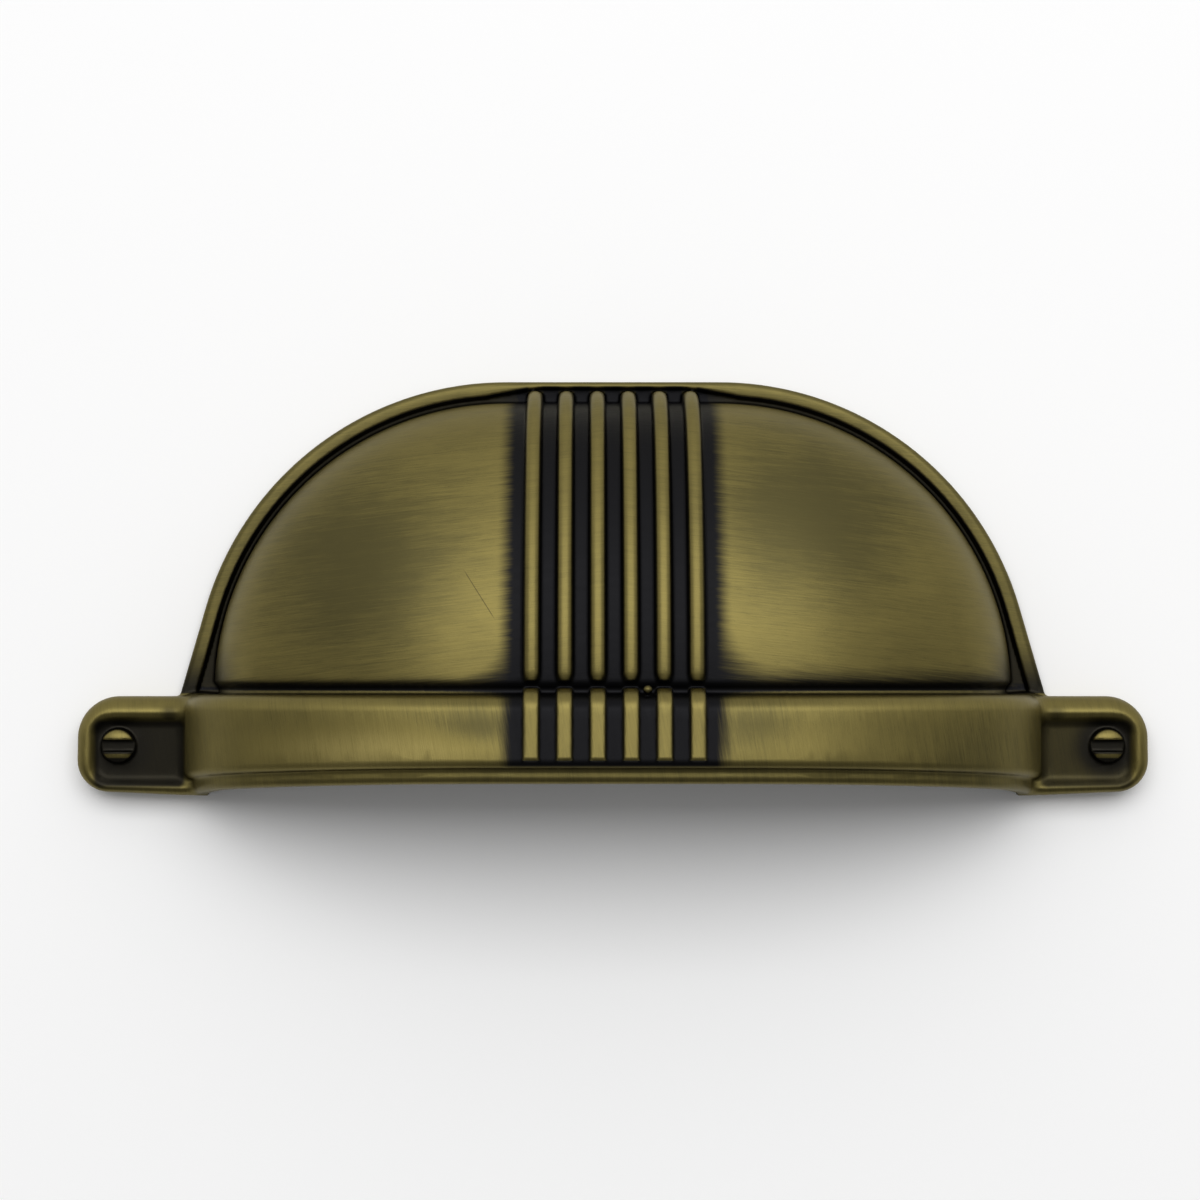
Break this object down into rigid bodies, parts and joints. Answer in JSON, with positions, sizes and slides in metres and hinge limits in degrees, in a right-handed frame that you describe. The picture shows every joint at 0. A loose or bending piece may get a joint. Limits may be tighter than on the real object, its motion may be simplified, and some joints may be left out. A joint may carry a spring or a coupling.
{
  "type": "cup pull",
  "caption": "Half-round cup pull for a drawer: a hollow reeded cup with a strap across its mouth, a flange with a raised edge, and ears with cast dummy screw heads; it is fixed by screws from behind.",
  "frame": {"origin": "midway between the two rear screw holes, on the face that lies against the drawer front", "axes": "+X along the strap to the right, +Y up the drawer front, +Z out of the drawer front; the finger opening looks to -Y"},
  "size_m": [0.1016, 0.0394, 0.0224],
  "materials": {
    "antique_brass": "antiqued: brushed on the high places, dark in the recesses"
  },
  "bodies": {
    "root": {"cup_pull": "antique_brass"}
  },
  "joints": []
}
